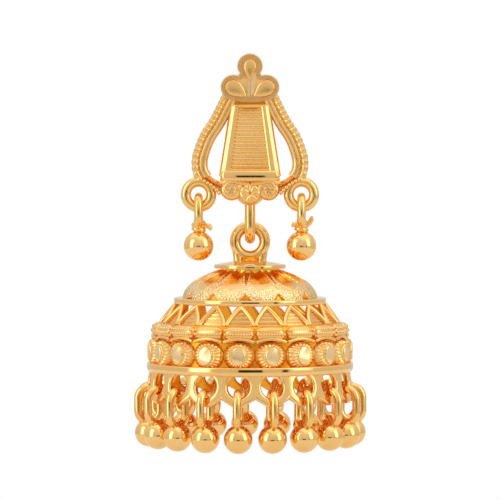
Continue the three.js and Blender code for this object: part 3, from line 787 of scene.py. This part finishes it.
def bail():
    form = Form()
    ring = tube(ring_path(BAIL_RADIUS, BAIL_RADIUS), BAIL_WIRE, 24, closed=True)
    form.add(moved(ring, z=BAIL_CENTRE), 0)
    for side in (-1, 1):
        leg = [(1.3, BAIL_CENTRE - 0.9), (1.16, DISC_TOP + 0.47)]
        leg += [(1.22, DISC_TOP - 0.03), (1.42, DISC_TOP - 0.28)]
        path = [(side * x, 0, z) for x, z in leg]
        form.add(tube(curve(path, 16), np.linspace(0.46, 0.5, 16), 16), 0)
    # The collar under the bail legs takes the deep orange gold, painted shade
    collar = [(0.0, DISC_TOP + 0.87), (0.75, DISC_TOP + 0.82), (0.95, DISC_TOP + 0.47)]
    collar += [(0.98, DISC_TOP - 0.23), (0.0, DISC_TOP - 0.28)]
    form.add(turned(softened(collar, 0.1, False), 40, closed=False), 1)
    form.points = [points + (0, AXIS_DEPTH, 0) for points in form.points]
    piece("bail", form, (WIRE, PAINTED_SHADE), "bell", "bell")


def top_disc():
    profile = [(0.0, DISC_TOP + DISC_CROWN), (1.2, DISC_TOP + DISC_CROWN - 0.03), (DISC_RADIUS, DISC_TOP)]
    profile += [(DISC_RADIUS, CAP_TOP), (0.0, CAP_TOP)]
    form = Form()
    form.add(about_axis(turned(softened(profile, 0.07, False), 120, closed=False)))
    piece("top_disc", form, (POLISHED,), "bell", "bell")


def petal_place(angle):
    """Place across a petal of the cap, from -0.5 to 0.5, with 0 at its middle."""
    share = (angle - PETAL_PHASE) * PETALS / FULL_TURN
    return share - np.round(share)


def dish_edge(across):
    return 0.5 + 0.06 * (1 - np.minimum(np.abs(across) / 0.36, 1) ** 2)


def crescent_edge(across):
    return 0.52 + 0.21 * (1 - np.minimum(np.abs(across) / 0.42, 1) ** 2)


def ramp(value, width):
    """Soft step from 0 to 1 over a width."""
    share = np.clip(value / width + 0.5, 0, 1)
    return share * share * (3 - 2 * share)


def cap():
    rows, steps = 64, 480
    down = np.linspace(0, 1, rows)
    turn = CAP_TOP_TURN * (1 - down)
    angle = np.linspace(0, FULL_TURN, steps, endpoint=False)
    across = petal_place(angle)[None, :]
    level = down[:, None]
    side = np.abs(across)
    dish = ramp(dish_edge(across) - level, 0.05) * ramp(0.3 + 0.12 * level - side, 0.04)
    dish_depth = 0.2 + 0.22 * np.clip(1 - side / 0.3, 0, 1)
    valley = ramp(side - 0.5 + 0.17 * (1 - level / 0.58), 0.04) * (level < 0.6)
    crescent = ramp(crescent_edge(across) - level, 0.03) * ramp(level - dish_edge(across), 0.03)
    notch = ramp(side - 0.5 + 0.9 * (level - 0.84), 0.05) * (level > 0.8)
    fan = np.cos(30 * np.arctan2(level - 0.4, across * 1.6)) * ramp(level - crescent_edge(across), 0.06)
    fan = fan * (1 - notch)
    depth = dish * dish_depth + 0.38 * valley + 0.3 * notch
    depth = depth - 0.06 * crescent - 0.016 * fan + 0.04
    depth = np.clip(depth, 0, 1) * ramp(level - 0.01, 0.02)
    reach = CAP_CORE + CAP_SWELL * np.cos(turn) ** CAP_FULLNESS
    radius = reach[:, None] - depth * np.cos(turn)[:, None]
    height = BAND_TOP + CAP_RISE * np.sin(turn)[:, None] - depth * np.sin(turn)[:, None]
    outer = np.stack([radius * np.sin(angle), -radius * np.cos(angle), height + 0 * radius], -1)
    back = turn[::-4]
    inner_radius = (CAP_CORE + (CAP_SWELL - 0.65) * np.cos(back) ** CAP_FULLNESS)[:, None] + 0 * angle
    inner_height = (BAND_TOP + (CAP_RISE - 0.65) * np.sin(back))[:, None] + 0 * angle
    inner = np.stack([inner_radius * np.sin(angle), -inner_radius * np.cos(angle), inner_height], -1)
    # Painted shade: the sunk dishes, valleys and notches take the deep orange shade gold, the valleys and
    # upper dishes a yellower shade gold instead, and the shell's inside (rest, below) the deep orange one
    # too
    deep = (dish > 0.5) | (valley > 0.5) | (notch > 0.5)
    smooth = (crescent > 0.4) | (level < 0.5) & ~deep
    painted_hollow_shade_mask = (valley > 0.5) | (dish > 0.5) & (level < 0.16)
    finish = np.where(painted_hollow_shade_mask, 3, np.where(deep, 2, np.where(smooth, 0, 1)))[:-1]
    form = Form()
    points, quads = grid(np.concatenate([outer, inner]), closed=True)
    rest = np.full(len(quads) - finish.size, 2)
    form.add(about_axis((points, quads)), np.concatenate([finish.ravel(), rest]))
    piece("petalled_cap", form, (FLAT, STIPPLED, PAINTED_SHADE, PAINTED_HOLLOW_SHADE), "bell", "bell", sharp=60.0)


def band(name, top, foot, radius, inner, swell):
    """A smooth band with an upright face that draws in towards its foot."""
    height = top - foot
    profile = [(inner, top), (radius - 0.1, top), (radius, top - 0.12 * height)]
    profile += [(radius, top - 0.6 * height), (radius - swell, foot + 0.1 * height)]
    profile += [(radius - swell - 0.06, foot), (inner, foot)]
    form = Form()
    form.add(about_axis(turned(softened(profile, 0.07), 216)))
    piece(name, form, (POLISHED,), "bell", "bell")


def on_cone(across, up, lift):
    """A point on the arches' cone: across is in millimetres, up a share of its slope."""
    slope = math.hypot(ARCH_TOP - ARCH_FOOT, ARCH_FOOT_RADIUS - ARCH_TOP_RADIUS)
    radius = ARCH_FOOT_RADIUS + (ARCH_TOP_RADIUS - ARCH_FOOT_RADIUS) * up
    angle = across / radius
    reach = radius + lift * (ARCH_TOP - ARCH_FOOT) / slope
    height = ARCH_FOOT + (ARCH_TOP - ARCH_FOOT) * up
    height = height + lift * (ARCH_FOOT_RADIUS - ARCH_TOP_RADIUS) / slope
    return np.stack([reach * np.sin(angle), -reach * np.cos(angle), height], -1)


def arch_half(up):
    """Half width of an arch at a share of its height."""
    half = math.pi * ARCH_FOOT_RADIUS / REPEATS - 0.1
    rise = np.clip((up - 0.08) / 0.92, 0, 1)
    return half * (1 - rise**1.45)


def arches():
    rows, columns = 61, 13
    up = np.linspace(0.0, 0.985, rows)[:, None]
    across = np.linspace(-1, 1, columns)[None, :] * arch_half(up)
    hatch = 0.045 * np.cos(FULL_TURN * up * 11)
    lift = hatch - 0.12 + 0 * across
    front = on_cone(across, up + 0 * across, lift)
    back = on_cone(across, up + 0 * across, -0.4 + 0 * across)
    loops = [np.concatenate([f, b[::-1]]) for f, b in zip(front, back)]
    form = Form()
    # The backs and side edges of the arch plates take the deep orange gold, painted shade
    ring_finish = [1] * (columns - 1) + [2] * (columns + 1)
    finish = ring_finish * (rows - 1) + [1, 1]
    form.add(about_axis(repeated(stack(loops))), finish * REPEATS)
    climb = np.linspace(0.02, 0.97, 26)
    half = arch_half(climb)
    left = on_cone(0.08 - half, climb, 0 * climb)
    right = on_cone(half - 0.08, climb, 0 * climb)
    form.add(about_axis(repeated(tube(np.concatenate([left, right[::-1]]), 0.23, 12))), 0)
    piece("pointed_arches", form, (WIRE, SATIN, PAINTED_SHADE), "bell", "bell")


def wrapped(radius, angle, height):
    """Points about Z from arrays of radius, angle from the front and height."""
    radius, angle, height = np.broadcast_arrays(radius, angle, height)
    return np.stack([radius * np.sin(angle), -radius * np.cos(angle), height], -1)


def cushions():
    form = Form()
    top, foot = ARCH_FOOT + 0.1, CUSHION_FOOT - 0.1
    middle = ARCH_FOOT - 0.68
    base = [(8.7, top), (8.95, top), (9.15, top - 0.3), (9.25, middle), (9.15, foot), (8.7, foot)]
    # The ring behind the cushions takes the deep orange gold, painted shade
    form.add(about_axis(turned(softened(base, 0.12), 171)), 1)
    half_angle = math.radians(9.1)
    share = np.linspace(-1, 1, 29)
    turn = np.linspace(0, FULL_TURN, 20, endpoint=False)
    size = np.clip(1 - share**6, 0.02, 1) ** 0.5
    crest = CUSHION_RADIUS + CUSHION_PROUD
    loops = []
    for place, scale in zip(share, size):
        radius = CUSHION_RADIUS + CUSHION_PROUD * scale * np.cos(turn)
        height = middle + CUSHION_HALF_HEIGHT * scale * np.sin(turn)
        loops.append(wrapped(radius, place * half_angle, height))
    form.add(about_axis(repeated(stack(loops))), 0)
    for level, reach in ((middle + 0.38, crest - 0.14), (middle - 0.02, crest)):
        for place in np.linspace(-0.86, 0.86, 11):
            grain = moved(ball(0.15, 10), 0, -reach + 0.03, level)
            form.add(about_axis(repeated(spun(grain, place * half_angle))), 0)
    arc = np.linspace(-1, 1, 21)
    rim = wrapped(crest - 0.1, arc * half_angle * 0.97, middle - 0.46 - 0.3 * arc**2)
    form.add(about_axis(repeated(tube(rim, 0.17, 10))), 0)
    piece("rope_cushions", form, (SATIN, PAINTED_SHADE), "bell", "bell")


def bosses():
    """Ribbed bosses with a flat mirror each; sink is how far a ring lies below the boss radius."""
    steps = 4 * BOSS_RIBS
    turn = np.linspace(0, FULL_TURN, steps, endpoint=False)
    ribs = np.cos(BOSS_RIBS * turn)
    half_width, half_height = 1.68, 1.36
    mirror = (0.66, 0.86)
    rows = []
    course = [(0.0, 0.08), (0.04, 0.17), (0.1, 0.2), (0.22, 0.17), (0.4, 0.22), (0.58, 0.33)]
    course += [(0.76, 0.5), (0.9, 0.68), (0.98, 0.85), (1.0, 1.0), (1.0, 1.25)]
    for share, sink in course:
        reach = BOSS_RADIUS - sink
        wide = mirror[0] + (half_width - mirror[0]) * share
        tall = mirror[1] + (half_height - mirror[1]) * share
        rib = 0.07 * ribs * math.sin(math.pi * min(1.0, max(0.0, share - 0.05)))
        x = wide * np.sign(np.cos(turn)) * np.abs(np.cos(turn)) ** (1 - 0.15 * share)
        z = tall * np.sign(np.sin(turn)) * np.abs(np.sin(turn)) ** (1 - 0.15 * share)
        rows.append(wrapped(reach + rib, x / 9.9, BOSS_LEVEL + z))
    form = Form()
    form.add(about_axis(repeated(stack(rows))), 0)
    # The flat faces of the bosses take the paler mirror gold, whose paler colour is a painted highlight
    discs = []
    for share, sink in ((1.0, 0.2), (1.0, 0.05), (0.93, 0.01)):
        x, z = mirror[0] * share * np.cos(turn), mirror[1] * share * np.sin(turn)
        discs.append(np.stack([x, np.full(steps, sink - BOSS_RADIUS), BOSS_LEVEL + z], 1))
    form.add(about_axis(repeated(stack(discs))), 1)
    # The wall behind the bosses takes the deep orange gold, painted shade
    top, foot = CUSHION_FOOT + 0.1, LOWER_BAND_TOP - 0.1
    wall = [(8.85, top), (9.3, top), (9.3, foot), (8.85, foot)]
    form.add(about_axis(turned(wall, 171)), 2)
    piece("bosses", form, (SATIN, MIRROR_PAINTED_HIGHLIGHT, PAINTED_SHADE), "bell", "bell")


def skirt_outline(turn):
    """Where a ray from an opening's middle leaves its share of the skirt, and the opening itself."""
    rays = np.stack([np.cos(turn), np.sin(turn)], 1)
    half = math.pi * SKIRT_RADIUS / REPEATS
    top = SKIRT_TOP - OPENING_CENTRE + 0.02
    foot = RIM_LEVEL - OPENING_CENTRE
    inner = np.full(len(turn), OPENING_RADIUS)
    lintel = top - 0.1
    inner = np.where(rays[:, 1] * inner > lintel, lintel / np.maximum(rays[:, 1], 1e-6), inner)
    outer = half / np.maximum(np.abs(rays[:, 0]), 1e-6)
    outer = np.minimum(outer, np.where(rays[:, 1] > 0, top / np.maximum(rays[:, 1], 1e-6), 1e6))
    lobe = LOBE_WIDTH / 2
    slope = NOTCH_RISE / (half - lobe)
    down = np.maximum(-rays[:, 1], 1e-6)
    flat = np.where(rays[:, 1] < 0, -foot / down, 1e6)
    slanted = (-foot + slope * lobe) / np.maximum(down + slope * np.abs(rays[:, 0]), 1e-6)
    low = np.where(np.abs(rays[:, 0]) * flat < lobe, flat, slanted)
    outer = np.where(rays[:, 1] < 0, np.minimum(outer, low), outer)
    return rays, inner, outer, half, foot, slope


def skirt():
    turn = np.linspace(0, FULL_TURN, 97)[:-1]
    rays, inner, outer, half, foot, slope = skirt_outline(turn)
    shares = np.array([0, 0.03, 0.08, 0.16, 0.28, 0.42, 0.58, 0.72, 0.84, 0.92, 0.97, 1])
    fillet = 0.26
    fronts, backs = [], []
    for share in shares:
        reach = inner + (outer - inner) * share
        x, z = rays[:, 0] * reach, rays[:, 1] * reach
        to_hole = np.hypot(x, z) - OPENING_RADIUS
        rim = foot + slope * np.clip(np.abs(x) - LOBE_WIDTH / 2, 0, None)
        to_rim = (z - rim) / math.hypot(1, slope)
        gap = np.clip(np.minimum(to_hole, to_rim), 0, fillet)
        dip = fillet - np.sqrt(fillet**2 - (fillet - gap) ** 2)
        level = OPENING_CENTRE + z
        radius = SKIRT_RADIUS + SKIRT_FLARE * (SKIRT_TOP - level) / (SKIRT_TOP - RIM_LEVEL)
        fronts.append(wrapped(radius - dip, x / SKIRT_RADIUS, level))
        backs.append(wrapped(radius - SKIRT_WALL + dip * 0.5, x / SKIRT_RADIUS, level))
    loops = fronts + backs[::-1] + fronts[:1]
    # The skirt's back and the sides of its openings take the deep orange gold, painted shade
    per_loop = [0] * (len(fronts) - 1) + [1] * len(fronts) + [1]
    finish = [kind for kind in per_loop for _ in turn]
    form = Form()
    form.add(about_axis(repeated(stack(loops, ends=False))), finish * REPEATS)
    piece("pierced_skirt", form, (POLISHED, PAINTED_SHADE), "bell", "bell", sharp=50.0)


def rim_drops():
    path = radial(ring_path(RIM_LOOP_HALF_WIDTH, RIM_LOOP_HALF_HEIGHT))
    loop = moved(tube(path, RIM_LOOP_WIRE, 20, closed=True), z=RIM_LOOP_TOP - RIM_LOOP_HALF_HEIGHT)
    bead = moved(ball(RIM_BALL_RADIUS, 56), z=RIM_BALL_LEVEL)
    for i in range(REPEATS):
        form = Form()
        angle = PHASE + FULL_TURN * i / REPEATS
        form.add(about_axis(spun(moved(loop, y=-RIM_DROP_RADIUS), angle)), 0)
        form.add(about_axis(spun(moved(bead, y=-RIM_DROP_RADIUS), angle)), 1)
        number = str(i + 1).zfill(2)
        look = "rim_drop_look_" + number
        piece(look, form, (WIRE, POLISHED), "bell", "rim_drop_" + number, slot="drop")


# Stage, light and camera

# In metres
FLOOR_HALF = 0.2
FLOOR_DROP = 0.03
CAMERA_PLACE = (0.0, -0.3513, -0.002)
# In millimetres
LENS = 256.0
SENSOR_WIDTH = 36.0


def floor():
    mesh = bpy.data.meshes.new("floor")
    half = FLOOR_HALF
    level = cad_low.z - FLOOR_DROP
    corners = [(-half, -half, level), (half, -half, level), (half, half, level), (-half, half, level)]
    mesh.from_pydata(corners, [], [(0, 1, 2, 3)])
    material = bpy.data.materials.new("floor_paper")
    material.use_nodes = True
    nodes, links = material.node_tree.nodes, material.node_tree.links
    paper = nodes["Principled BSDF"]
    paper.inputs["Base Color"].default_value = (0.78, 0.76, 0.74, 1)
    paper.inputs["Roughness"].default_value = 0.9
    glow = nodes.new("ShaderNodeEmission")
    mix = nodes.new("ShaderNodeMixShader")
    path = nodes.new("ShaderNodeLightPath")
    links.new(path.outputs["Is Camera Ray"], mix.inputs["Fac"])
    links.new(paper.outputs["BSDF"], mix.inputs[1])
    links.new(glow.outputs["Emission"], mix.inputs[2])
    links.new(mix.outputs["Shader"], nodes["Material Output"].inputs["Surface"])
    mesh.materials.append(material)
    made = bpy.data.objects.new("floor", mesh)
    bpy.context.scene.collection.objects.link(made)


def math_node(tree, operation, *values):
    node = tree.nodes.new("ShaderNodeMath")
    node.operation = operation
    for socket, value in zip(node.inputs, values):
        if isinstance(value, (int, float)):
            socket.default_value = value
        else:
            tree.links.new(value, socket)
    return node.outputs[0]


def soft_step(tree, value, low, high):
    node = tree.nodes.new("ShaderNodeMapRange")
    node.interpolation_type = "SMOOTHSTEP"
    tree.links.new(value, node.inputs["Value"])
    node.inputs["From Min"].default_value = low
    node.inputs["From Max"].default_value = high
    return node.outputs["Result"]


def lamp_box(tree, direction, centre, half_width, half_height, edge):
    """A soft-edged rectangle of light or shade round a direction."""
    centre = Vector(centre).normalized()
    across = centre.cross(Vector((0, 0, 1))).normalized()
    up = across.cross(centre)
    shares = []
    for axis, half in ((across, half_width), (up, half_height)):
        dot = tree.nodes.new("ShaderNodeVectorMath")
        dot.operation = "DOT_PRODUCT"
        tree.links.new(direction, dot.inputs[0])
        dot.inputs[1].default_value = axis
        size = math_node(tree, "ABSOLUTE", dot.outputs["Value"])
        shares.append(soft_step(tree, math_node(tree, "SUBTRACT", half, size), -edge, edge))
    front = tree.nodes.new("ShaderNodeVectorMath")
    front.operation = "DOT_PRODUCT"
    tree.links.new(direction, front.inputs[0])
    front.inputs[1].default_value = centre
    facing = soft_step(tree, front.outputs["Value"], 0.0, 0.05)
    return math_node(tree, "MULTIPLY", math_node(tree, "MULTIPLY", *shares), facing)


# Light boxes round the earring: direction, half width, half height, soft edge, strength
BOXES = [
    ((-0.8, -0.5, 0.3), 0.2, 0.45, 0.08, 1.9),
    ((0.8, -0.45, 0.4), 0.2, 0.4, 0.08, 1.7),
    ((0.1, 0.1, 1.0), 0.6, 0.5, 0.2, 0.5),
]
# Dark cards: direction, half width, half height, soft edge, share of light that they take
CARDS = [
    ((0.01, -1.0, -0.045), 0.23, 0.06, 0.015, 0.97),
    ((0.62, -0.75, -0.1), 0.06, 0.12, 0.02, 0.9),
]


def light():
    """A white tent with brighter boxes and dark cards, seen only by the metal."""
    world = bpy.data.worlds.new("studio")
    bpy.context.scene.world = world
    world.use_nodes = True
    tree = world.node_tree
    sky = tree.nodes["Background"]
    place = tree.nodes.new("ShaderNodeTexCoord")
    direction = place.outputs["Generated"]
    split = tree.nodes.new("ShaderNodeSeparateXYZ")
    tree.links.new(direction, split.inputs[0])
    level = math_node(tree, "MULTIPLY_ADD", soft_step(tree, split.outputs["Z"], -0.6, 0.9), 0.22, 0.64)
    for centre, half_width, half_height, edge, strength in BOXES:
        box = lamp_box(tree, direction, centre, half_width, half_height, edge)
        level = math_node(tree, "MULTIPLY_ADD", box, strength, level)
    for centre, half_width, half_height, edge, share in CARDS:
        card = lamp_box(tree, direction, centre, half_width, half_height, edge)
        kept = math_node(tree, "MULTIPLY_ADD", card, -share, 1.0)
        level = math_node(tree, "MULTIPLY", level, kept)
    path = tree.nodes.new("ShaderNodeLightPath")
    strength = tree.nodes.new("ShaderNodeMix")
    strength.data_type = "FLOAT"
    tree.links.new(path.outputs["Is Camera Ray"], strength.inputs["Factor"])
    tree.links.new(level, strength.inputs["A"])
    strength.inputs["B"].default_value = 1.0
    tree.links.new(strength.outputs["Result"], sky.inputs["Strength"])
    sky.inputs["Color"].default_value = (1, 1, 1, 1)


def camera():
    lens = bpy.data.cameras.new("camera")
    lens.lens = LENS
    lens.sensor_width = SENSOR_WIDTH
    lens.clip_start = 0.01
    lens.clip_end = 20.0
    eye = bpy.data.objects.new("camera", lens)
    bpy.context.scene.collection.objects.link(eye)
    eye.location = CAMERA_PLACE
    target = Vector((0.0, AXIS_DEPTH * MM, (cad_low.z + cad_high.z) / 2))
    eye.rotation_euler = (target - eye.location).to_track_quat("-Z", "Y").to_euler()
    bpy.context.scene.camera = eye


crown()
panel()
bars()
scroll()
arms()
rings()
link()
side_drop("left", -1)
side_drop("right", 1)
bail()
top_disc()
cap()
band("upper_band", BAND_TOP, ARCH_TOP, BAND_RADIUS, BAND_INNER_RADIUS, 0.06)
arches()
cushions()
bosses()
band("lower_band", LOWER_BAND_TOP, SKIRT_TOP, BELL_RADIUS, LOWER_BAND_INNER_RADIUS, 0.08)
skirt()
rim_drops()
floor()
light()
camera()

scene = bpy.context.scene
scene.view_settings.view_transform = "Standard"
scene.cycles.glossy_bounces = 8
scene.cycles.max_bounces = 12

bpy.context.view_layer.update()
